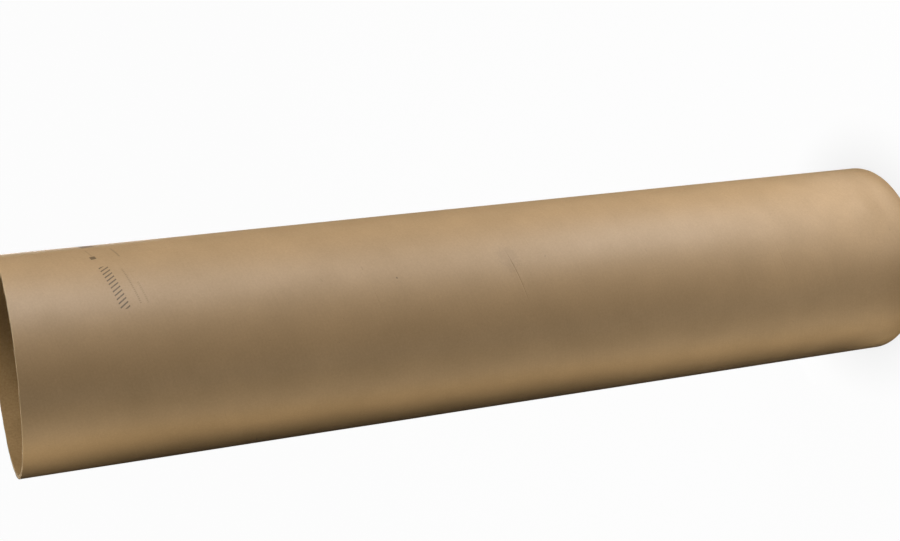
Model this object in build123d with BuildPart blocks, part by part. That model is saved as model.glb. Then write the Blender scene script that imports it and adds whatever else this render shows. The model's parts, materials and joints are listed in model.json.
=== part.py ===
# Concrete form tube: a paper tube, wound from glued spiral strips in one long run and sawn to length.
# It stands on its lower end, with the tube's axis on +Z and the origin in the middle of that end.
import os
from math import asin, pi, tan

from build123d import *

# Driving dimensions, in millimetres
inner_diameter = 250.0  # of the column that is cast in the tube
wall = 5.0  # all the paper plies together
length = 1200.0
edge_break = 0.3  # small bevel along the four sawn edges
strip_width = 182.0  # outer paper strip, measured square to its edges
seam_gap = 1.0  # open joint between two turns of the outer strip
seam_depth = 0.5  # thickness of the outer strip
seam_height = 76.8  # where the joint first crosses the +X side, above the lower end

# Sizes that follow from them
inner_radius = inner_diameter / 2
outer_radius = inner_radius + wall
outer_girth = 2 * pi * outer_radius
lead_angle = asin(strip_width / outer_girth)
seam_pitch = outer_girth * tan(lead_angle)
saw_waste = 2 * seam_pitch + seam_height  # wound run that the saw takes off beyond each end

os.makedirs("parts", exist_ok=True)

with BuildPart() as tube:
    # The wound run, longer than the finished tube
    with BuildSketch(Plane.XY.offset(-saw_waste)):
        Circle(outer_radius)
        Circle(inner_radius, mode=Mode.SUBTRACT)
    extrude(amount=length + 2 * saw_waste)

    # The butt joint of the outer strip: a right-hand spiral groove, one strip thickness deep
    with BuildLine() as joint_line:
        Helix(seam_pitch, length + 2 * seam_pitch, outer_radius, center=(0, 0, seam_height - seam_pitch))
    joint_start = joint_line.line @ 0
    with BuildSketch(Plane(joint_start, x_dir=(1, 0, 0), z_dir=joint_line.line % 0)):
        Rectangle(2 * seam_depth, seam_gap)
    sweep(path=joint_line.line, is_frenet=True, mode=Mode.SUBTRACT)

    # The saw cuts: only the finished wall stays, with its edges bevelled
    with BuildSketch(Plane.XZ) as wall_section:
        with Locations((inner_radius + wall / 2, length / 2)):
            Rectangle(wall, length)
        chamfer(wall_section.vertices(), edge_break)
    revolve(axis=Axis.Z, mode=Mode.INTERSECT)

tube.part.label = "tube"
export_step(tube.part, "parts/tube.step")

print(f"outside {2 * outer_radius:.1f}, seam pitch {seam_pitch:.2f}, solid {tube.part.volume / 1e6:.4f} litres")
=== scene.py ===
import json
from math import asin, cos, floor, radians, sin, tan, tau

import bpy
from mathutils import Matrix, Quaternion, Vector


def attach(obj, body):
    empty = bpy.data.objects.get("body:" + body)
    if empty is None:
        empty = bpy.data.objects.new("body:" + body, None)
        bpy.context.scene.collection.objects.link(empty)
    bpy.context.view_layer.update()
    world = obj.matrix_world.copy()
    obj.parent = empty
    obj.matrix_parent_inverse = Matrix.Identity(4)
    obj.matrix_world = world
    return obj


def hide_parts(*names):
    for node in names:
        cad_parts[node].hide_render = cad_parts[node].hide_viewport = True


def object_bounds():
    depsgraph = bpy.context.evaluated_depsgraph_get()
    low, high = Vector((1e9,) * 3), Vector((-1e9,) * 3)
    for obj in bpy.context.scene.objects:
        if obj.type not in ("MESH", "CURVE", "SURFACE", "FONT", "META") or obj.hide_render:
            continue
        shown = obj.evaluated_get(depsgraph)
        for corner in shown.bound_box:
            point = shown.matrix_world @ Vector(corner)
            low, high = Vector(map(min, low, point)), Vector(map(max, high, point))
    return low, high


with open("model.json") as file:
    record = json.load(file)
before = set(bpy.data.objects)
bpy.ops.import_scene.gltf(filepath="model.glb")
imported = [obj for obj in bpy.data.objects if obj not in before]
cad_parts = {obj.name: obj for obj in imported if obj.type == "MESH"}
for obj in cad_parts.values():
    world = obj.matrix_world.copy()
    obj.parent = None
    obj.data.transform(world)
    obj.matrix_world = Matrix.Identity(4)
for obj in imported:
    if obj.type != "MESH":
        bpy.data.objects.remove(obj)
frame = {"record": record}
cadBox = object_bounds()

mm = 0.001  # every length below is in metres
mounts = {mount["name"]: mount["dims"] for mount in frame["record"]["mounts"]}
outerRadius = mounts["outer_wall"]["r_mm"] * mm
boreRadius = mounts["bore"]["r_mm"] * mm
tubeLength = cadBox[1].z - cadBox[0].z
print(f"frame loaded: tube {2000 * outerRadius:.0f} x {1000 * tubeLength:.0f} mm")


def linear(hexColour):  # sRGB hex to the linear colour that a socket takes
    channels = [int(hexColour[i:i + 2], 16) / 255 for i in (1, 3, 5)]
    return [c / 12.92 if c <= 0.04045 else ((c + 0.055) / 1.055) ** 2.4 for c in channels] + [1]


def addNode(tree, kind, links=None, **settings):
    node = tree.nodes.new(kind)
    for name, value in settings.items():
        setattr(node, name, value)
    for socket, value in (links or {}).items():
        if isinstance(value, bpy.types.Node):
            value = next(output for output in value.outputs if output.enabled)
        if isinstance(value, bpy.types.NodeSocket):
            tree.links.new(value, node.inputs[socket])
        else:
            node.inputs[socket].default_value = value
    return node


# Winding: the outer strip runs round the tube as a right-hand spiral, and all plies share its pitch
winding = {
    "stripWidth": 182 * mm,  # square to the strip's edges
    "jointHeight": 76.8 * mm,  # where the joint first crosses the +X side
    "linerShift": 0.43,  # how far the bore's joint lies from the outer one, in turns
}
girth = tau * outerRadius
lead = asin(winding["stripWidth"] / girth)
pitch = girth * tan(lead)
firstJoint = winding["jointHeight"] - 2 * pitch  # the winding starts two turns below the lower end


# A place on the wall is given in mm below the upper end and degrees round from -Y towards +X
def onWall(along, turn):  # arc from +X and height
    return radians(turn - 90) * outerRadius, tubeLength - along * mm


def wallPoint(along, turn):  # point in the frame
    turned = radians(turn)
    return outerRadius * sin(turned), -outerRadius * cos(turned), tubeLength - along * mm


def onStrip(along, turn):  # along and across the outer strip
    arc, height = onWall(along, turn)
    part = (arc / girth) % 1
    turns = part + floor((height - firstJoint) / pitch - part)
    rise = height - firstJoint - turns * pitch
    return turns * girth / cos(lead) + rise * sin(lead), rise * cos(lead)


# Kraft paper: machine-glazed brown sheet, so the eye gets a soft sheen, cloudy fibre and a few dark shives
kraft = {
    "dark": "#9B7F5A",
    "middle": "#A38661",
    "light": "#AB8D67",
    "ink": "#3E2C12",
    "dirt": "#57452D",
    "scuff": "#B2946C",  # bare fibre where the glaze is rubbed off along the sawn ends
    "cloud": 55 * mm,
    "fibre": 2.4 * mm,  # a real fibre is finer: drawn this coarse so that it shows
    "grainLength": 90 * mm,
    "grainWidth": 1.6 * mm,
    "cloudShare": 0.45,  # what each of the three adds to the light and dark of the sheet
    "fibreShare": 0.4,
    "grainShare": 0.15,
    "levels": (0.3, 0.7),  # of that sum, where the sheet is darkest and lightest
    "shiveSpacing": 16 * mm,
    "shiveReach": (0.02, 0.05),  # core and soft edge, in spacings
    "shiveLevel": 0.62,  # a higher one leaves fewer shives
    "shiveShade": 0.45,
    "markReach": (0.9, 1.5),  # where a knock starts to fade and where it ends
    "markRagged": 0.9,
    "wornLevels": (0.3, 0.5),  # of the fibre, between which the ink is worn
    "wornInk": 0.75,
    "scuffWidth": 1.2 * mm,
    "scuffFade": 1.8,  # in widths from the end
    "scuffShade": 0.85,
    "roughness": (0.48, 0.58),
    "specular": 0.62,  # the glaze shines a little more than bare paper
    "bump": 0.03 * mm,
    "bumpStrength": 0.6,
}

# Printed on the strip before winding: plain fields, in mm along and across it from the hatched one's middle
printPlace = onStrip(118.5, 35.5)
printFields = [
    {"centre": (0, 0), "size": (66, 11), "ink": 0.8, "period": 5.5, "fill": 0.34, "slant": 0.45},
    {"centre": (54, 2.5), "size": (6.5, 6.5), "ink": 0.8},
    {"centre": (68, 2), "size": (18, 2.0), "ink": 0.26, "period": 2.4, "fill": 0.7},
    {"centre": (-5.5, -18), "size": (53, 2.1), "ink": 0.3, "period": 2.6, "fill": 0.7},
    {"centre": (-19, -26), "size": (30, 2.1), "ink": 0.22, "period": 2.6, "fill": 0.7},
    {"centre": (58, -26), "size": (26, 2.2), "ink": 0.42, "period": 2.6, "fill": 0.8},
    {"centre": (112, -7.5), "size": (42, 15), "ink": 0.7},
]

# Knocks and dirt on the wall, and one broad patch that is only slightly darker: size in mm round and along
# it, tilt in degrees
wallMarks = [
    {"along": 447, "turn": 21, "size": (3.4, 2.6), "tilt": 20, "dirt": 0.75},
    {"along": 355, "turn": 24.6, "size": (7, 2.2), "tilt": 35, "dirt": 0.2},
    {"along": 408, "turn": 29, "size": (8, 1.5), "tilt": 10, "dirt": 0.2},
    {"along": 645, "turn": 23.7, "size": (4, 3), "tilt": 0, "dirt": 0.35},
    {"along": 470, "turn": 2.6, "size": (1.8, 1.6), "tilt": 0, "dirt": 0.4},
    {"along": 785, "turn": 20, "size": (7, 1.8), "tilt": 12, "dirt": 0.22},
    {"along": 998, "turn": -33.5, "size": (6, 1.2), "tilt": 60, "dirt": 0.3},
    {"along": 1160, "turn": 15, "size": (6, 1.6), "tilt": 12, "dirt": 0.25},
    # a broad oval, slightly darker than the sheet round it
    {"along": 596, "turn": 25, "size": (46, 34), "tilt": 13, "dirt": 0.12},
]


def kraftPaper():
    material = bpy.data.materials.new("brownKraftPaper")
    material.use_nodes = True
    tree = material.node_tree
    shader = tree.nodes["Principled BSDF"]
    shader.inputs["Specular IOR Level"].default_value = kraft["specular"]
    place = addNode(tree, "ShaderNodeTexCoord").outputs["Object"]
    strip = addNode(tree, "ShaderNodeUVMap", uv_map="stripMap")

    # Cloudy sheet, felted fibre and grain along the strip
    clouds = addNode(tree, "ShaderNodeTexNoise", {"Vector": place, "Scale": 1 / kraft["cloud"], "Detail": 3})
    fibre = addNode(tree, "ShaderNodeTexNoise", {"Vector": place, "Scale": 1 / kraft["fibre"], "Detail": 2})
    drawn = addNode(tree, "ShaderNodeMapping", {
        "Vector": strip, "Scale": (1 / kraft["grainLength"], 1 / kraft["grainWidth"], 1)})
    grain = addNode(tree, "ShaderNodeTexNoise", {"Vector": drawn, "Scale": 1, "Detail": 2})
    sheet = addNode(tree, "ShaderNodeMath", {0: fibre, 1: kraft["fibreShare"]}, operation="MULTIPLY")
    sheet = addNode(tree, "ShaderNodeMath", {
        0: grain, 1: kraft["grainShare"], 2: sheet}, operation="MULTIPLY_ADD")
    sheet = addNode(tree, "ShaderNodeMath", {
        0: clouds, 1: kraft["cloudShare"], 2: sheet}, operation="MULTIPLY_ADD")
    darkest, lightest = kraft["levels"]
    tone = addNode(tree, "ShaderNodeValToRGB", {"Fac": sheet})
    tone.color_ramp.elements[0].position = darkest
    tone.color_ramp.elements[0].color = linear(kraft["dark"])
    tone.color_ramp.elements[1].position = lightest
    tone.color_ramp.elements[1].color = linear(kraft["light"])
    tone.color_ramp.elements.new((darkest + lightest) / 2).color = linear(kraft["middle"])

    # Shives: dark slivers of bark in some of the cells
    core, edge = kraft["shiveReach"]
    cells = addNode(tree, "ShaderNodeTexVoronoi", {"Vector": strip, "Scale": 1 / kraft["shiveSpacing"]})
    sliver = addNode(tree, "ShaderNodeMapRange", {
        "Value": cells, "From Min": core, "From Max": edge, "To Min": kraft["shiveShade"], "To Max": 0},
        interpolation_type="SMOOTHSTEP")
    chosen = addNode(tree, "ShaderNodeMath", {
        0: cells.outputs["Color"], 1: kraft["shiveLevel"]}, operation="GREATER_THAN")
    dirt = addNode(tree, "ShaderNodeMath", {0: sliver, 1: chosen}, operation="MULTIPLY")

    # Knocks, dirt and that broad darker patch, each an oval with a soft edge
    spot = addNode(tree, "ShaderNodeSeparateXYZ", {0: place})
    angle = addNode(tree, "ShaderNodeMath", {0: spot.outputs["Y"], 1: spot.outputs["X"]}, operation="ARCTAN2")
    arc = addNode(tree, "ShaderNodeMath", {0: angle, 1: outerRadius}, operation="MULTIPLY")
    wall = addNode(tree, "ShaderNodeCombineXYZ", {"X": arc, "Y": spot.outputs["Z"]})
    core, edge = kraft["markReach"]
    for mark in wallMarks:
        oval = addNode(tree, "ShaderNodeMapping", {
            "Vector": wall,
            "Location": (*onWall(mark["along"], mark["turn"]), 0),
            "Rotation": (0, 0, radians(mark["tilt"])),
            "Scale": (mark["size"][0] * mm / 2, mark["size"][1] * mm / 2, 1),
        }, vector_type="TEXTURE")
        reach = addNode(tree, "ShaderNodeVectorMath", {0: oval}, operation="LENGTH")
        ragged = addNode(tree, "ShaderNodeMath", {
            0: fibre, 1: kraft["markRagged"], 2: reach.outputs["Value"]}, operation="MULTIPLY_ADD")
        shade = addNode(tree, "ShaderNodeMapRange", {
            "Value": ragged, "From Min": core, "From Max": edge, "To Min": mark["dirt"], "To Max": 0},
            interpolation_type="SMOOTHSTEP")
        dirt = addNode(tree, "ShaderNodeMath", {0: dirt, 1: shade}, operation="MAXIMUM")

    # Print: plain fields, hatched or dashed where they have a period
    local = addNode(tree, "ShaderNodeMapping", {
        "Vector": strip, "Location": (*printPlace, 0), "Scale": (mm, mm, 1)}, vector_type="TEXTURE")
    places = addNode(tree, "ShaderNodeSeparateXYZ", {0: local})
    ink = 0
    for field in printFields:
        width, height = field["size"]
        framed = addNode(tree, "ShaderNodeMapping", {
            "Vector": local, "Location": (*field["centre"], 0), "Scale": (width / 2, height / 2, 1),
        }, vector_type="TEXTURE")
        sides = addNode(tree, "ShaderNodeSeparateXYZ", {
            0: addNode(tree, "ShaderNodeVectorMath", {0: framed}, operation="ABSOLUTE")})
        reach = addNode(tree, "ShaderNodeMath", {
            0: sides.outputs["X"], 1: sides.outputs["Y"]}, operation="MAXIMUM")
        cover = addNode(tree, "ShaderNodeMath", {0: reach, 1: 1}, operation="LESS_THAN")
        cover = addNode(tree, "ShaderNodeMath", {0: cover, 1: field["ink"]}, operation="MULTIPLY")
        if "period" in field:
            halfPeriod = field["period"] / 2
            slanted = addNode(tree, "ShaderNodeMath", {
                0: places.outputs["Y"], 1: field.get("slant", 0), 2: places.outputs["X"],
            }, operation="MULTIPLY_ADD")
            wave = addNode(tree, "ShaderNodeMath", {0: slanted, 1: halfPeriod}, operation="PINGPONG")
            bar = addNode(tree, "ShaderNodeMath", {
                0: wave, 1: field["fill"] * halfPeriod}, operation="LESS_THAN")
            cover = addNode(tree, "ShaderNodeMath", {0: cover, 1: bar}, operation="MULTIPLY")
        ink = addNode(tree, "ShaderNodeMath", {0: ink, 1: cover}, operation="MAXIMUM")
    low, high = kraft["wornLevels"]
    worn = addNode(tree, "ShaderNodeMapRange", {
        "Value": fibre, "From Min": low, "From Max": high, "To Min": kraft["wornInk"], "To Max": 1})
    ink = addNode(tree, "ShaderNodeMath", {0: ink, 1: worn}, operation="MULTIPLY")

    # Scuffed ends: the glaze is rubbed off in a ragged band
    below = addNode(tree, "ShaderNodeMath", {0: tubeLength, 1: spot.outputs["Z"]}, operation="SUBTRACT")
    fromEnd = addNode(tree, "ShaderNodeMath", {0: spot.outputs["Z"], 1: below}, operation="MINIMUM")
    ragged = addNode(tree, "ShaderNodeMath", {0: fibre, 1: kraft["scuffWidth"]}, operation="MULTIPLY")
    band = addNode(tree, "ShaderNodeMath", {0: fromEnd, 1: ragged}, operation="ADD")
    scuff = addNode(tree, "ShaderNodeMapRange", {
        "Value": band, "From Min": kraft["scuffWidth"], "From Max": kraft["scuffFade"] * kraft["scuffWidth"],
        "To Min": kraft["scuffShade"], "To Max": 0}, interpolation_type="SMOOTHSTEP")

    tone = addNode(tree, "ShaderNodeMix", {0: scuff, 6: tone, 7: linear(kraft["scuff"])}, data_type="RGBA")
    tone = addNode(tree, "ShaderNodeMix", {0: dirt, 6: tone, 7: linear(kraft["dirt"])}, data_type="RGBA")
    tone = addNode(tree, "ShaderNodeMix", {0: ink, 6: tone, 7: linear(kraft["ink"])}, data_type="RGBA")
    smooth, rough = kraft["roughness"]
    gloss = addNode(tree, "ShaderNodeMapRange", {
        "Value": sheet, "From Min": darkest, "From Max": lightest, "To Min": rough, "To Max": smooth})
    felt = addNode(tree, "ShaderNodeMath", {0: fibre, 1: grain}, operation="ADD")
    bump = addNode(tree, "ShaderNodeBump", {
        "Strength": kraft["bumpStrength"], "Distance": kraft["bump"], "Height": felt})
    tree.links.new(tone.outputs[2], shader.inputs["Base Color"])
    tree.links.new(gloss.outputs[0], shader.inputs["Roughness"])
    tree.links.new(bump.outputs[0], shader.inputs["Normal"])
    return material


# Liner of the bore: plain brown paper, unglazed, a little greyer and duller than the outside; its darker
# brown is partly painted shade of the bore
liner = {
    # darker than the outside sheet: partly the paper's own tone, partly painted shade of the bore
    "dark": "#866A43",
    "light": "#A08257",
    "cloud": 40 * mm,
    "fibre": 2.4 * mm,
    "levels": (0.3, 0.7),  # where the sheet is darkest and lightest
    "roughness": 0.75,
    "specular": 0.25,
    "bump": 0.04 * mm,
    "bumpStrength": 0.6,
}


def linerPaper():
    material = bpy.data.materials.new("plainLinerPaper")
    material.use_nodes = True
    tree = material.node_tree
    shader = tree.nodes["Principled BSDF"]
    shader.inputs["Roughness"].default_value = liner["roughness"]
    shader.inputs["Specular IOR Level"].default_value = liner["specular"]
    place = addNode(tree, "ShaderNodeTexCoord").outputs["Object"]
    clouds = addNode(tree, "ShaderNodeTexNoise", {"Vector": place, "Scale": 1 / liner["cloud"], "Detail": 3})
    fibre = addNode(tree, "ShaderNodeTexNoise", {"Vector": place, "Scale": 1 / liner["fibre"], "Detail": 2})
    both = addNode(tree, "ShaderNodeMath", {0: clouds, 1: fibre}, operation="ADD")
    sheet = addNode(tree, "ShaderNodeMath", {0: both, 1: 2}, operation="DIVIDE")
    tone = addNode(tree, "ShaderNodeValToRGB", {"Fac": sheet})
    for stop, level, shade in zip(tone.color_ramp.elements, liner["levels"], ("dark", "light")):
        stop.position = level
        stop.color = linear(liner[shade])
    bump = addNode(tree, "ShaderNodeBump", {
        "Strength": liner["bumpStrength"], "Distance": liner["bump"], "Height": fibre})
    tree.links.new(tone.outputs[0], shader.inputs["Base Color"])
    tree.links.new(bump.outputs[0], shader.inputs["Normal"])
    return material


# Sawn paper edge: cut fibre is paler and matt, with a thin dark glue line between plies
sawn = {
    "paper": "#A48B67",
    "glue": "#7E6546",
    "glueLine": (0.05, 0.16),  # core and soft edge, in ply thicknesses
    "glueShade": 0.7,
    "fibre": 0.9 * mm,
    "roughness": 0.85,
    "bump": 0.08 * mm,
    "bumpStrength": 0.8,
}


def sawnEdge(thickness):  # of one ply
    material = bpy.data.materials.new("sawnPaperEdge")
    material.use_nodes = True
    tree = material.node_tree
    shader = tree.nodes["Principled BSDF"]
    shader.inputs["Roughness"].default_value = sawn["roughness"]
    place = addNode(tree, "ShaderNodeTexCoord").outputs["Object"]
    fibre = addNode(tree, "ShaderNodeTexNoise", {"Vector": place, "Scale": 1 / sawn["fibre"], "Detail": 3})
    across = addNode(tree, "ShaderNodeSeparateXYZ", {0: addNode(tree, "ShaderNodeUVMap", uv_map="stripMap")})
    layer = addNode(tree, "ShaderNodeMath", {
        0: across.outputs["Y"], 1: thickness / 2}, operation="PINGPONG")
    core, edge = sawn["glueLine"]
    glue = addNode(tree, "ShaderNodeMapRange", {
        "Value": layer, "From Min": core * thickness, "From Max": edge * thickness,
        "To Min": sawn["glueShade"], "To Max": 0})
    patchy = addNode(tree, "ShaderNodeMath", {0: glue, 1: fibre}, operation="MULTIPLY")
    tone = addNode(tree, "ShaderNodeMix", {
        0: patchy, 6: linear(sawn["paper"]), 7: linear(sawn["glue"])}, data_type="RGBA")
    bump = addNode(tree, "ShaderNodeBump", {
        "Strength": sawn["bumpStrength"], "Distance": sawn["bump"], "Height": fibre})
    tree.links.new(tone.outputs[2], shader.inputs["Base Color"])
    tree.links.new(bump.outputs[0], shader.inputs["Normal"])
    return material


def newTree(name, sizes):  # a Geometry Nodes tree with a named input for each size
    kinds = {int: "NodeSocketInt", float: "NodeSocketFloat", bpy.types.Material: "NodeSocketMaterial"}
    tree = bpy.data.node_groups.new(name, "GeometryNodeTree")
    for label, value in sizes.items():
        socket = tree.interface.new_socket(label, in_out="INPUT", socket_type=kinds[type(value)])
        socket.default_value = value
    tree.interface.new_socket("Mesh", in_out="OUTPUT", socket_type="NodeSocketGeometry")
    return tree, addNode(tree, "NodeGroupInput").outputs


# Saw line: the blade wandered a little as the tube turned under it
saw = {
    "bends": 6,  # in about a radian
    "true": 0.4,  # level of the noise up to which the cut is square
    "worst": 0.7,  # and from which it is lowest
}


def sawLine(tree, radial, ragged, seed):  # how far inside the end the cut runs, from place to place round it
    wander = addNode(tree, "ShaderNodeTexNoise", {
        "Vector": radial, "W": seed, "Scale": saw["bends"], "Detail": 2}, noise_dimensions="4D")
    return addNode(tree, "ShaderNodeMapRange", {
        "Value": wander, "From Min": saw["true"], "From Max": saw["worst"], "To Min": 0, "To Max": ragged})


# Places on the wall where handling has worked the outer joint open
looseJoints = [(599, 18), (972, 19), (1045, -122), (713, 160), (314, -150), (376, 90)]

# One ply: a flat strip, as long as all its turns, is wound on the tube and sawn off at both ends
ply = {
    "Radius": outerRadius,
    "Length": tubeLength,
    "Pitch": pitch,
    "First Joint": firstJoint,
    "Columns": 180,  # in each turn
    "Rows": 40,  # across the strip
    "Gather": 0.97,  # draws the rows together at the joint
    "Joint Gap": 0.7 * mm,
    "Joint Depth": 0.45 * mm,
    "Gap Floor": 0.35,  # how far the flat bottom and the sides of the joint reach, in gaps from its middle
    "Gap Side": 0.9,
    "Stretches": 9.0,  # open and closed ones, in each metre
    "Tight": 0.58,  # level of the noise below which the joint is closed
    "Open": 0.68,  # and above which it is fully open
    "Closed Depth": 0.06,  # what is left of the joint where it is closed
    "Loose": 0.1,  # what handling adds to that level
    "Loose Reach": 60 * mm,
    "Edge Lift": 0.12 * mm,  # the strip's edges curl up a little where it is open
    "Curl": 6 * mm,  # width of that curl
    "Waves": 0.35 * mm,
    "Wave Count": 6.0,  # in each metre
    "Edge Break": 0.3 * mm,
    "Ragged": 0.5 * mm,
    "Upper Seed": 5.0,
    "Lower Seed": 21.0,
    "Outward": 1.0,  # -1 for a ply that faces into the bore
    "Surface": 0,
    "Seed": 3.0,
}


def windPly():
    tree, size = newTree("windPly", ply)
    wholeRun = addNode(tree, "ShaderNodeMath", {
        0: size["Length"], 1: size["First Joint"]}, operation="SUBTRACT")
    turns = addNode(tree, "ShaderNodeMath", {0: wholeRun, 1: size["Pitch"]}, operation="DIVIDE")
    turns = addNode(tree, "ShaderNodeMath", {0: turns}, operation="CEIL")
    columns = addNode(tree, "ShaderNodeMath", {0: turns, 1: size["Columns"], 2: 1}, operation="MULTIPLY_ADD")
    rows = addNode(tree, "ShaderNodeMath", {0: size["Rows"], 1: 1}, operation="ADD")
    flat = addNode(tree, "GeometryNodeMeshGrid", {
        "Size X": turns, "Size Y": 1, "Vertices X": columns, "Vertices Y": rows})

    # Place on the flat strip: turns along it, and the rise above the joint across it
    spot = addNode(tree, "ShaderNodeSeparateXYZ", {0: addNode(tree, "GeometryNodeInputPosition")})
    turn = addNode(tree, "ShaderNodeMath", {0: turns, 1: 0.5, 2: spot.outputs["X"]}, operation="MULTIPLY_ADD")
    row = addNode(tree, "ShaderNodeMath", {0: spot.outputs["Y"], 1: 0.5}, operation="ADD")
    rowAngle = addNode(tree, "ShaderNodeMath", {0: row, 1: tau}, operation="MULTIPLY")
    ripple = addNode(tree, "ShaderNodeMath", {0: rowAngle}, operation="SINE")
    ripple = addNode(tree, "ShaderNodeMath", {0: ripple, 1: -1 / tau}, operation="MULTIPLY")
    gathered = addNode(tree, "ShaderNodeMath", {
        0: ripple, 1: size["Gather"], 2: row}, operation="MULTIPLY_ADD")
    rise = addNode(tree, "ShaderNodeMath", {0: gathered, 1: size["Pitch"]}, operation="MULTIPLY")

    # Wound: the angle, and the height cut off at the saw lines
    angle = addNode(tree, "ShaderNodeMath", {0: turn, 1: tau}, operation="MULTIPLY")
    radial = addNode(tree, "ShaderNodeCombineXYZ", {
        "X": addNode(tree, "ShaderNodeMath", {0: angle}, operation="COSINE"),
        "Y": addNode(tree, "ShaderNodeMath", {0: angle}, operation="SINE")})
    wound = addNode(tree, "ShaderNodeMath", {0: turn, 1: size["Pitch"], 2: rise}, operation="MULTIPLY_ADD")
    wound = addNode(tree, "ShaderNodeMath", {0: wound, 1: size["First Joint"]}, operation="ADD")
    top = addNode(tree, "ShaderNodeMath", {0: size["Length"], 1: size["Edge Break"]}, operation="SUBTRACT")
    top = addNode(tree, "ShaderNodeMath", {
        0: top, 1: sawLine(tree, radial, size["Ragged"], size["Upper Seed"])}, operation="SUBTRACT")
    foot = addNode(tree, "ShaderNodeMath", {
        0: size["Edge Break"], 1: sawLine(tree, radial, size["Ragged"], size["Lower Seed"])}, operation="ADD")
    height = addNode(tree, "ShaderNodeClamp", {"Value": wound, "Min": foot, "Max": top})
    lift = addNode(tree, "ShaderNodeCombineXYZ", {"Z": height})
    smooth = addNode(tree, "ShaderNodeVectorMath", {0: radial, "Scale": size["Radius"]}, operation="SCALE")
    smooth = addNode(tree, "ShaderNodeVectorMath", {0: smooth, 1: lift}, operation="ADD")

    # Joint: a shallow open groove, nearly closed in most stretches, with edges that curl up in the others
    below = addNode(tree, "ShaderNodeMath", {0: size["Pitch"], 1: rise}, operation="SUBTRACT")
    reach = addNode(tree, "ShaderNodeMath", {0: rise, 1: below}, operation="MINIMUM")
    openness = addNode(tree, "ShaderNodeTexNoise", {
        "Vector": smooth, "W": size["Seed"], "Scale": size["Stretches"], "Detail": 2}, noise_dimensions="4D")
    for place in looseJoints:
        away = addNode(tree, "ShaderNodeVectorMath", {
            0: smooth, 1: wallPoint(*place)}, operation="DISTANCE")
        loose = addNode(tree, "ShaderNodeMapRange", {
            "Value": away, "From Min": 0, "From Max": size["Loose Reach"],
            "To Min": size["Loose"], "To Max": 0}, interpolation_type="SMOOTHSTEP")
        openness = addNode(tree, "ShaderNodeMath", {0: openness, 1: loose}, operation="ADD")
    openness = addNode(tree, "ShaderNodeMapRange", {
        "Value": openness, "From Min": size["Tight"], "From Max": size["Open"],
        "To Min": size["Closed Depth"], "To Max": 1})
    gapFloor = addNode(tree, "ShaderNodeMath", {
        0: size["Joint Gap"], 1: size["Gap Floor"]}, operation="MULTIPLY")
    gapSide = addNode(tree, "ShaderNodeMath", {
        0: size["Joint Gap"], 1: size["Gap Side"]}, operation="MULTIPLY")
    groove = addNode(tree, "ShaderNodeMapRange", {
        "Value": reach, "From Min": gapFloor, "From Max": gapSide,
        "To Min": size["Joint Depth"], "To Max": 0})
    groove = addNode(tree, "ShaderNodeMath", {0: groove, 1: openness}, operation="MULTIPLY")
    curl = addNode(tree, "ShaderNodeMapRange", {
        "Value": reach, "From Min": gapSide, "From Max": size["Curl"],
        "To Min": size["Edge Lift"], "To Max": 0}, interpolation_type="SMOOTHSTEP")
    curl = addNode(tree, "ShaderNodeMath", {0: curl, 1: openness}, operation="MULTIPLY")
    waves = addNode(tree, "ShaderNodeTexNoise", {
        "Vector": smooth, "W": size["Seed"], "Scale": size["Wave Count"], "Detail": 1}, noise_dimensions="4D")
    waves = addNode(tree, "ShaderNodeMath", {0: waves, 1: 0.5}, operation="SUBTRACT")
    relief = addNode(tree, "ShaderNodeMath", {0: curl, 1: groove}, operation="SUBTRACT")
    relief = addNode(tree, "ShaderNodeMath", {
        0: waves, 1: size["Waves"], 2: relief}, operation="MULTIPLY_ADD")

    # The relief dies away at the sawn ends, where the ply meets the cut
    fromTop = addNode(tree, "ShaderNodeMath", {0: top, 1: height}, operation="SUBTRACT")
    fromFoot = addNode(tree, "ShaderNodeMath", {0: height, 1: foot}, operation="SUBTRACT")
    fromEnd = addNode(tree, "ShaderNodeMath", {0: fromTop, 1: fromFoot}, operation="MINIMUM")
    kept = addNode(tree, "ShaderNodeMapRange", {
        "Value": fromEnd, "From Min": 0, "From Max": size["Joint Depth"]})
    relief = addNode(tree, "ShaderNodeMath", {0: relief, 1: kept}, operation="MULTIPLY")
    radius = addNode(tree, "ShaderNodeMath", {
        0: relief, 1: size["Outward"], 2: size["Radius"]}, operation="MULTIPLY_ADD")
    shaped = addNode(tree, "ShaderNodeVectorMath", {0: radial, "Scale": radius}, operation="SCALE")
    shaped = addNode(tree, "ShaderNodeVectorMath", {0: shaped, 1: lift}, operation="ADD")

    # The strip's own map, in metres along and across it
    around = addNode(tree, "ShaderNodeMath", {0: size["Radius"], 1: tau}, operation="MULTIPLY")
    slope = addNode(tree, "ShaderNodeMath", {0: size["Pitch"], 1: around}, operation="ARCTAN2")
    slopeCos = addNode(tree, "ShaderNodeMath", {0: slope}, operation="COSINE")
    slopeSin = addNode(tree, "ShaderNodeMath", {0: slope}, operation="SINE")
    run = addNode(tree, "ShaderNodeMath", {0: turn, 1: around}, operation="MULTIPLY")
    run = addNode(tree, "ShaderNodeMath", {0: run, 1: slopeCos}, operation="DIVIDE")
    run = addNode(tree, "ShaderNodeMath", {0: rise, 1: slopeSin, 2: run}, operation="MULTIPLY_ADD")
    width = addNode(tree, "ShaderNodeMath", {0: rise, 1: slopeCos}, operation="MULTIPLY")
    stripMap = addNode(tree, "ShaderNodeCombineXYZ", {"X": run, "Y": width})

    mapped = addNode(tree, "GeometryNodeStoreNamedAttribute", {
        "Geometry": flat, "Name": "stripMap", "Value": stripMap}, data_type="FLOAT2", domain="CORNER")
    marked = addNode(tree, "GeometryNodeStoreNamedAttribute", {
        "Geometry": mapped, "Name": "surface", "Value": size["Surface"]}, data_type="INT", domain="FACE")
    moved = addNode(tree, "GeometryNodeSetPosition", {"Geometry": marked, "Position": shaped})
    addNode(tree, "NodeGroupOutput", {"Mesh": moved})
    return tree


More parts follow.
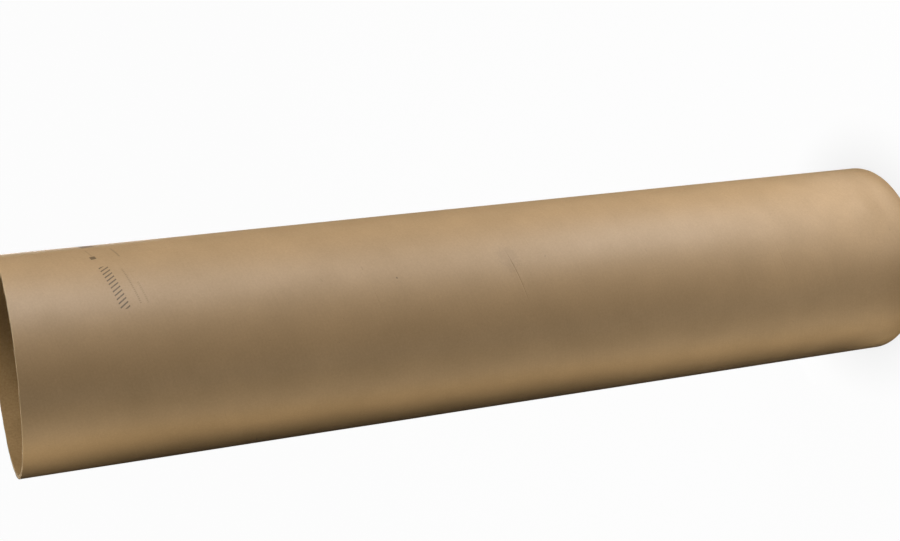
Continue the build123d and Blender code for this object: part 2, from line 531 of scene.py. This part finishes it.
# One sawn end: a ring of ply edges that the saw left slightly uneven
end = {
    "Radius": outerRadius,
    "Bore": boreRadius,
    "Height": tubeLength,
    "Up": 1.0,  # -1 for the end that faces down
    "Columns": ply["Columns"],
    "Rings": 20,
    "Plies": 10,
    "Edge Break": ply["Edge Break"],
    "Ragged": ply["Ragged"],
    "Steps": 0.12 * mm,  # from ply to ply
    "Fuzz": 0.1 * mm,
    "Fuzz Size": 6 * mm,
    "Seed": ply["Upper Seed"],
}


def sawEnd():
    tree, size = newTree("sawEnd", end)
    columns = addNode(tree, "ShaderNodeMath", {0: size["Columns"], 1: 1}, operation="ADD")
    rings = addNode(tree, "ShaderNodeMath", {0: size["Rings"], 1: 1}, operation="ADD")
    flat = addNode(tree, "GeometryNodeMeshGrid", {
        "Size X": 1, "Size Y": 1, "Vertices X": columns, "Vertices Y": rings})
    spot = addNode(tree, "ShaderNodeSeparateXYZ", {0: addNode(tree, "GeometryNodeInputPosition")})
    turn = addNode(tree, "ShaderNodeMath", {0: spot.outputs["X"], 1: 0.5}, operation="ADD")
    angle = addNode(tree, "ShaderNodeMath", {0: turn, 1: tau}, operation="MULTIPLY")
    depth = addNode(tree, "ShaderNodeMath", {0: spot.outputs["Y"], 1: 0.5}, operation="ADD")
    wall = addNode(tree, "ShaderNodeMath", {0: size["Radius"], 1: size["Bore"]}, operation="SUBTRACT")
    inset = addNode(tree, "ShaderNodeMath", {0: depth, 1: wall}, operation="MULTIPLY")
    radius = addNode(tree, "ShaderNodeMath", {0: size["Radius"], 1: inset}, operation="SUBTRACT")
    radial = addNode(tree, "ShaderNodeCombineXYZ", {
        "X": addNode(tree, "ShaderNodeMath", {0: angle}, operation="COSINE"),
        "Y": addNode(tree, "ShaderNodeMath", {0: angle}, operation="SINE")})
    level = addNode(tree, "ShaderNodeVectorMath", {0: radial, "Scale": radius}, operation="SCALE")

    # Each ply was cut at its own height, and the first and last rings are the broken edges
    layer = addNode(tree, "ShaderNodeMath", {0: depth, 1: size["Plies"]}, operation="MULTIPLY")
    layer = addNode(tree, "ShaderNodeMath", {0: layer}, operation="FLOOR")
    layer = addNode(tree, "ShaderNodeMath", {0: layer, 1: size["Seed"]}, operation="ADD")
    step = addNode(tree, "ShaderNodeTexWhiteNoise", {"W": layer}, noise_dimensions="1D")
    fineness = addNode(tree, "ShaderNodeMath", {0: 1, 1: size["Fuzz Size"]}, operation="DIVIDE")
    fuzz = addNode(tree, "ShaderNodeTexNoise", {
        "Vector": level, "W": size["Seed"], "Scale": fineness, "Detail": 2}, noise_dimensions="4D")
    drop = addNode(tree, "ShaderNodeMath", {0: step, 1: size["Steps"]}, operation="MULTIPLY")
    drop = addNode(tree, "ShaderNodeMath", {0: fuzz, 1: size["Fuzz"], 2: drop}, operation="MULTIPLY_ADD")
    inner = addNode(tree, "ShaderNodeMath", {0: 1, 1: depth}, operation="SUBTRACT")
    rim = addNode(tree, "ShaderNodeMath", {0: depth, 1: inner}, operation="MINIMUM")
    halfRing = addNode(tree, "ShaderNodeMath", {0: 0.5, 1: size["Rings"]}, operation="DIVIDE")
    atRim = addNode(tree, "ShaderNodeMath", {0: rim, 1: halfRing}, operation="LESS_THAN")
    drop = addNode(tree, "ShaderNodeMix", {0: atRim, 2: drop, 3: size["Edge Break"]})
    drop = addNode(tree, "ShaderNodeMath", {
        0: drop, 1: sawLine(tree, radial, size["Ragged"], size["Seed"])}, operation="ADD")
    drop = addNode(tree, "ShaderNodeMath", {0: drop, 1: size["Up"]}, operation="MULTIPLY")
    height = addNode(tree, "ShaderNodeMath", {0: size["Height"], 1: drop}, operation="SUBTRACT")
    placed = addNode(tree, "ShaderNodeVectorMath", {
        0: level, 1: addNode(tree, "ShaderNodeCombineXYZ", {"Z": height})}, operation="ADD")

    run = addNode(tree, "ShaderNodeMath", {0: angle, 1: size["Radius"]}, operation="MULTIPLY")
    ringMap = addNode(tree, "ShaderNodeCombineXYZ", {"X": run, "Y": inset})
    mapped = addNode(tree, "GeometryNodeStoreNamedAttribute", {
        "Geometry": flat, "Name": "stripMap", "Value": ringMap}, data_type="FLOAT2", domain="CORNER")
    marked = addNode(tree, "GeometryNodeStoreNamedAttribute", {
        "Geometry": mapped, "Name": "surface", "Value": 2}, data_type="INT", domain="FACE")
    moved = addNode(tree, "GeometryNodeSetPosition", {"Geometry": marked, "Position": placed})
    addNode(tree, "NodeGroupOutput", {"Mesh": moved})
    return tree


# The whole tube: the outer ply, the liner of the bore and two sawn ends, welded to one closed wall
wholeTube = {
    "Outer Radius": outerRadius,
    "Bore Radius": boreRadius,
    "Length": tubeLength,
    "Pitch": pitch,
    "Outer Joint": firstJoint,
    "Liner Joint": firstJoint + (winding["linerShift"] - 1) * pitch,
    "Liner Rows": 14,
    "Liner Seed": 8.0,
    "Weld": 0.02 * mm,
    "Sharp Angle": radians(32),
}


def buildTube():
    plyTree = windPly()
    endTree = sawEnd()
    plyThickness = (outerRadius - boreRadius) / end["Plies"]
    inputs = {**wholeTube, "Outside": kraftPaper(), "Inside": linerPaper(), "Cut": sawnEdge(plyThickness)}
    tree, size = newTree("formTube", inputs)
    outside = addNode(tree, "GeometryNodeGroup", {
        "Radius": size["Outer Radius"], "Length": size["Length"], "Pitch": size["Pitch"],
        "First Joint": size["Outer Joint"]}, node_tree=plyTree)
    inside = addNode(tree, "GeometryNodeGroup", {
        "Radius": size["Bore Radius"], "Length": size["Length"], "Pitch": size["Pitch"],
        "First Joint": size["Liner Joint"], "Rows": size["Liner Rows"], "Seed": size["Liner Seed"],
        "Outward": -1, "Surface": 1}, node_tree=plyTree)
    upper = addNode(tree, "GeometryNodeGroup", {
        "Radius": size["Outer Radius"], "Bore": size["Bore Radius"],
        "Height": size["Length"]}, node_tree=endTree)
    lower = addNode(tree, "GeometryNodeGroup", {
        "Radius": size["Outer Radius"], "Bore": size["Bore Radius"], "Height": 0, "Up": -1,
        "Seed": ply["Lower Seed"]}, node_tree=endTree)
    joined = addNode(tree, "GeometryNodeJoinGeometry")
    for piece in (outside, addNode(tree, "GeometryNodeFlipFaces", {0: inside}),
                  upper, addNode(tree, "GeometryNodeFlipFaces", {0: lower})):
        tree.links.new(piece.outputs[0], joined.inputs[0])
    welded = addNode(tree, "GeometryNodeMergeByDistance", {"Geometry": joined, "Distance": size["Weld"]})
    smooth = addNode(tree, "GeometryNodeSetShadeSmooth", {"Geometry": welded, "Shade Smooth": True})
    sharp = addNode(tree, "ShaderNodeMath", {
        0: addNode(tree, "GeometryNodeInputMeshEdgeAngle"), 1: size["Sharp Angle"]}, operation="GREATER_THAN")
    creased = addNode(tree, "GeometryNodeSetShadeSmooth", {
        "Geometry": smooth, "Selection": sharp, "Shade Smooth": False}, domain="EDGE")
    real = addNode(tree, "GeometryNodeRealizeInstances", {"Geometry": creased})
    finished = addNode(tree, "GeometryNodeSetMaterial", {"Geometry": real, "Material": size["Outside"]})
    surface = addNode(tree, "GeometryNodeInputNamedAttribute", {"Name": "surface"}, data_type="INT")
    for number, label in ((1, "Inside"), (2, "Cut")):
        same = addNode(tree, "FunctionNodeCompare", {
            2: surface, 3: number}, data_type="INT", operation="EQUAL")
        finished = addNode(tree, "GeometryNodeSetMaterial", {
            "Geometry": finished, "Selection": same, "Material": size[label]})
    addNode(tree, "NodeGroupOutput", {"Mesh": finished})

    tube = bpy.data.objects.new("formTube", bpy.data.meshes.new("formTube"))
    bpy.context.scene.collection.objects.link(tube)
    modifier = tube.modifiers.new("formTube", "NODES")
    modifier.node_group = tree
    for socket in tree.interface.items_tree:
        if socket.in_out == "INPUT":
            modifier[socket.identifier] = inputs[socket.name]
    shape = tube.evaluated_get(bpy.context.evaluated_depsgraph_get())
    mesh = bpy.data.meshes.new_from_object(shape)
    tube.modifiers.clear()
    tube.data = mesh
    mesh.materials.pop(index=0)  # the empty slot that the grids came with
    mesh.attributes.remove(mesh.attributes["surface"])
    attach(tube, "root")
    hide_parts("tube")
    return tube


tube = buildTube()
print(f"tube wound: {len(tube.data.polygons)} faces, {len(tube.data.materials)} materials")

# Stage: a pale floor, with its own white for the camera, darkened near the tube by a painted contact shadow
stage = {
    "colour": "#DCDCDA",
    "roughness": 0.9,
    "white": 0.975,  # share of plain white that the camera sees in it, over its shadows
    "reflected": 0.02,  # how bright that white is in reflections: matt paper needs little of it
    "paintedShadow": 0.22,  # how much of that white the painted contact shadow takes away: ambient occlusion near the tube, not a lamp's shadow
    "paintedShadowReach": 0.08,
    "halfSide": 40.0,
    "ambient": 0.02,
}


def raysSeen(tree):  # which rays come from the camera, and which from a reflection or through glass
    path = addNode(tree, "ShaderNodeLightPath")
    mirrored = addNode(tree, "ShaderNodeMath", {
        0: path.outputs["Is Glossy Ray"], 1: path.outputs["Is Transmission Ray"]}, operation="MAXIMUM")
    return path.outputs["Is Camera Ray"], mirrored


def layFloor():
    half = stage["halfSide"]
    mesh = bpy.data.meshes.new("floor")
    corners = [(-half, -half, 0), (half, -half, 0), (half, half, 0), (-half, half, 0)]
    mesh.from_pydata(corners, [], [(0, 1, 2, 3)])
    floorPlane = bpy.data.objects.new("floor", mesh)
    bpy.context.scene.collection.objects.link(floorPlane)
    material = bpy.data.materials.new("mattWhiteFloor")
    material.use_nodes = True
    tree = material.node_tree
    shader = tree.nodes["Principled BSDF"]
    shader.inputs["Base Color"].default_value = linear(stage["colour"])
    shader.inputs["Roughness"].default_value = stage["roughness"]
    direct, mirrored = raysSeen(tree)
    # Painted shadow: ambient occlusion darkens the white that the camera sees close to the tube
    nearby = addNode(tree, "ShaderNodeAmbientOcclusion", {"Distance": stage["paintedShadowReach"]})
    shade = addNode(tree, "ShaderNodeMapRange", {
        "Value": nearby.outputs["AO"], "To Min": 1 - stage["paintedShadow"], "To Max": 1})
    level = addNode(tree, "ShaderNodeMath", {0: direct, 1: shade}, operation="MULTIPLY")
    level = addNode(tree, "ShaderNodeMath", {
        0: mirrored, 1: stage["reflected"], 2: level}, operation="MULTIPLY_ADD")
    share = addNode(tree, "ShaderNodeMath", {
        0: direct, 1: stage["white"], 2: mirrored}, operation="MULTIPLY_ADD")
    white = addNode(tree, "ShaderNodeEmission", {"Color": linear("#FFFFFF"), "Strength": level})
    mixed = addNode(tree, "ShaderNodeMixShader", {0: share, 1: shader, 2: white})
    tree.links.new(mixed.outputs[0], tree.nodes["Material Output"].inputs["Surface"])
    mesh.materials.append(material)


def lightWorld():
    world = bpy.data.worlds.new("studio")
    world.use_nodes = True
    tree = world.node_tree
    direct, mirrored = raysSeen(tree)
    unseen = addNode(tree, "ShaderNodeMath", {0: 1, 1: direct}, operation="SUBTRACT")
    level = addNode(tree, "ShaderNodeMath", {
        0: mirrored, 1: stage["reflected"], 2: direct}, operation="MULTIPLY_ADD")
    level = addNode(tree, "ShaderNodeMath", {
        0: unseen, 1: stage["ambient"], 2: level}, operation="MULTIPLY_ADD")
    sky = tree.nodes["Background"]
    sky.inputs["Color"].default_value = linear("#FFFFFF")
    tree.links.new(level.outputs[0], sky.inputs["Strength"])
    bpy.context.scene.world = world


# Lamps: degrees round from -Y towards +X, metres from the axis and above the floor, degrees they tilt up
# The first six light the side with the print, the next one shines into the mouth, the five slightly warm
# strips close to the wall give the softer band on the -X side, and the last two light the back
lamps = [
    {"name": "key", "turn": 57, "distance": 2.2, "height": 0.7, "tilt": 0, "size": (1.0, 1.2),
     "spread": 80, "watts": 5.07},
    {"name": "high", "turn": 65, "distance": 1.5, "height": 1.6, "tilt": -18, "size": (0.6, 0.7),
     "spread": 120, "watts": 7.09},
    {"name": "lowPanel", "turn": 55, "distance": 0.75, "height": 0.1, "tilt": 33, "size": (0.5, 0.2),
     "spread": 110, "watts": 1.2},
    {"name": "foot", "turn": 42, "distance": 0.5, "height": 0.05, "tilt": 5, "size": (0.4, 0.08),
     "spread": 90, "watts": 0.21},
    {"name": "floorCard", "turn": 48, "distance": 0.24, "height": 0.003, "tilt": 90, "size": (0.4, 0.2),
     "spread": 180, "watts": 0.23, "gives": "sheen"},
    {"name": "footCard", "turn": 34, "distance": 0.18, "height": 0.003, "tilt": 90, "size": (0.25, 0.08),
     "spread": 180, "watts": 0.09, "gives": "sheen"},
    {"name": "mouth", "turn": 0, "distance": 0, "height": 1.75, "tilt": -90, "size": (0.12, 0.12),
     "spread": 40, "watts": 0.228},
    {"name": "fill", "turn": -28, "distance": 0.22, "height": 0.6, "tilt": 0, "size": (0.06, 1.4),
     "spread": 180, "watts": 0.272, "gives": "light", "colour": "#FFFAEA"},
    {"name": "lowFill", "turn": -46, "distance": 0.18, "height": 0.6, "tilt": 0, "size": (0.04, 1.4),
     "spread": 180, "watts": 0.278, "gives": "light", "colour": "#FFFAEA"},
    {"name": "rimFill", "turn": -58, "distance": 0.2, "height": 1.22, "tilt": 0, "size": (0.05, 0.2),
     "spread": 180, "watts": 0.0245, "gives": "light", "colour": "#FFFAEA"},
    {"name": "underFill", "turn": -58, "distance": 0.175, "height": 0.2, "tilt": 0, "size": (0.04, 0.5),
     "spread": 180, "watts": 0.017, "gives": "light", "colour": "#FFFAEA"},
    {"name": "footFill", "turn": -66, "distance": 0.165, "height": 0.018, "tilt": 0, "size": (0.03, 0.05),
     "spread": 180, "watts": 0.0072, "gives": "light", "colour": "#FFFAEA"},
    {"name": "backFill", "turn": -140, "distance": 0.24, "height": 0.6, "tilt": 0, "size": (0.08, 1.5),
     "spread": 180, "watts": 0.55, "gives": "light"},
    {"name": "rear", "turn": 170, "distance": 3.6, "height": 0.9, "tilt": -4, "size": (1.4, 1.2),
     "spread": 60, "watts": 8},
]


def hangLamps():
    for lamp in lamps:
        light = bpy.data.lights.new(lamp["name"], "AREA")
        light.shape = "RECTANGLE"
        light.size, light.size_y = lamp["size"]
        light.spread = radians(lamp["spread"])
        light.energy = lamp["watts"]
        light.color = linear(lamp.get("colour", "#FFFFFF"))[:3]
        turn = radians(lamp["turn"])
        hung = bpy.data.objects.new(lamp["name"], light)
        hung.location = (lamp["distance"] * sin(turn), -lamp["distance"] * cos(turn), lamp["height"])
        hung.rotation_euler = (radians(90 + lamp["tilt"]), 0, turn)
        hung.visible_camera = False
        hung.visible_glossy = lamp.get("gives") != "light"
        hung.visible_diffuse = lamp.get("gives") != "sheen"
        bpy.context.scene.collection.objects.link(hung)


# Camera: fitted to the photograph's outlines, and rolled because the tube lies there and stands here
view = {
    "place": (0.0, -1.8321, 1.3648),
    "aim": (0.0493, -0.0673, 0.6627),
    "roll": 96.68,
    "lens": 61.06,
}


def placeCamera():
    lens = bpy.data.cameras.new("camera")
    lens.lens = view["lens"]
    camera = bpy.data.objects.new("camera", lens)
    camera.location = view["place"]
    level = (Vector(view["aim"]) - camera.location).to_track_quat("-Z", "Y")
    camera.rotation_euler = (level @ Quaternion((0, 0, 1), radians(-view["roll"]))).to_euler()
    bpy.context.scene.collection.objects.link(camera)
    bpy.context.scene.camera = camera


layFloor()
lightWorld()
hangLamps()
placeCamera()
bpy.context.scene.view_settings.view_transform = "Standard"
print(f"stage set: {len(lamps)} lamps")
